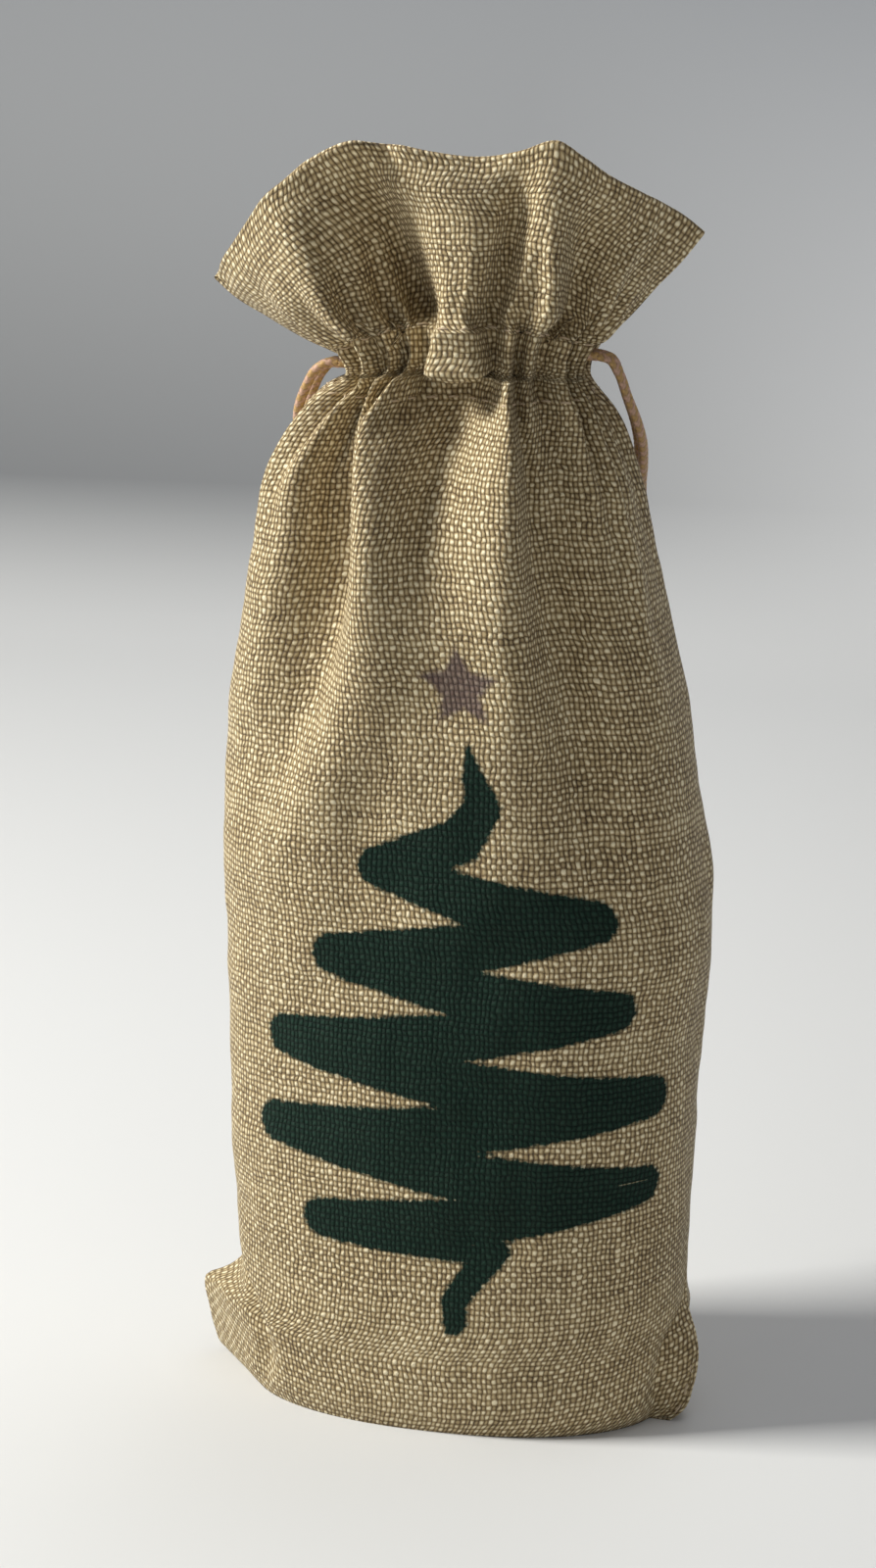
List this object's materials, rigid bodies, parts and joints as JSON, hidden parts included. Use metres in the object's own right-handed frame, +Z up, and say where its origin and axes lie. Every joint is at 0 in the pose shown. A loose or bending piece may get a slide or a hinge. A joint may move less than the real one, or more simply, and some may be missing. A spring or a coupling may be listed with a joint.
{
  "type": "drawstring wine gift bag",
  "caption": "Standing woven drawstring gift bag for one bottle, gathered at the neck by knotted drawcords below an open ruffle.",
  "frame": {"origin": "centre of the base, on the floor, midway between the two bottom corners' plane of the side seams and the middle of the filled body", "axes": "+Z up, X along the bag's width with +X to the right seen from the front, -Y out of the painted front"},
  "size_m": [0.1386, 0.0748, 0.31],
  "materials": {
    "burlap": "coarse plain-woven faux-linen burlap in straw and brown yarns, slubby, with soaked-in dark green and plum brush paint on the front",
    "cord": "smooth braided beige-gold cord with a soft sheen",
    "thread": "matt tan sewing thread"
  },
  "bodies": {
    "sack": {"front_panel": "burlap", "back_panel": "burlap", "left_side_seam": "burlap", "right_side_seam": "burlap", "bottom_seam": "burlap", "side_seam_thread": "thread", "bottom_seam_thread": "thread", "left_cord_in_casing": "cord", "right_cord_in_casing": "cord", "left_bar_tacks": "thread", "right_bar_tacks": "thread"},
    "neck_front": {"front_casing": "burlap", "front_ruffle": "burlap", "front_hem_ply": "burlap", "front_lower_stitching": "thread", "front_upper_stitching": "thread"},
    "neck_back": {"back_casing": "burlap", "back_ruffle": "burlap", "back_hem_ply": "burlap", "back_lower_stitching": "thread", "back_upper_stitching": "thread"},
    "left_tail": {"left_front_strand": "cord", "left_back_strand": "cord"},
    "left_tail_end": {"left_knot": "cord"},
    "right_tail": {"right_front_strand": "cord", "right_back_strand": "cord"},
    "right_tail_end": {"right_knot": "cord"}
  },
  "joints": [
    {"name": "mouth_front", "type": "slide", "parent": "sack", "child": "neck_front", "axis": [0, -1, 0], "range_m": [0, 0.014], "deforming": ["left_cord_in_casing", "right_cord_in_casing"]},
    {"name": "mouth_back", "type": "slide", "parent": "sack", "child": "neck_back", "axis": [0, 1, 0], "range_m": [0, 0.007]},
    {"name": "left_tail_swing", "type": "hinge", "parent": "sack", "child": "left_tail", "pos_m": [-0.031, 0, 0.2562], "axis": [0, 1, 0], "range_deg": [0, 40]},
    {"name": "right_tail_swing", "type": "hinge", "parent": "sack", "child": "right_tail", "pos_m": [0.031, 0, 0.2598], "axis": [0, -1, 0], "range_deg": [0, 60]},
    {"name": "left_cord_draw", "type": "slide", "parent": "left_tail", "child": "left_tail_end", "axis": [0, 0, 1], "range_m": [0, 0.021], "deforming": ["left_front_strand", "left_back_strand"]},
    {"name": "right_cord_draw", "type": "slide", "parent": "right_tail", "child": "right_tail_end", "axis": [0, 0, 1], "range_m": [0, 0.021], "deforming": ["right_front_strand", "right_back_strand"]}
  ],
  "couplings": [
    {"joint": "mouth_back", "follows": "mouth_front", "ratio": 0.5},
    {"joint": "left_cord_draw", "follows": "mouth_front", "ratio": 1.5},
    {"joint": "right_cord_draw", "follows": "mouth_front", "ratio": 1.5}
  ]
}
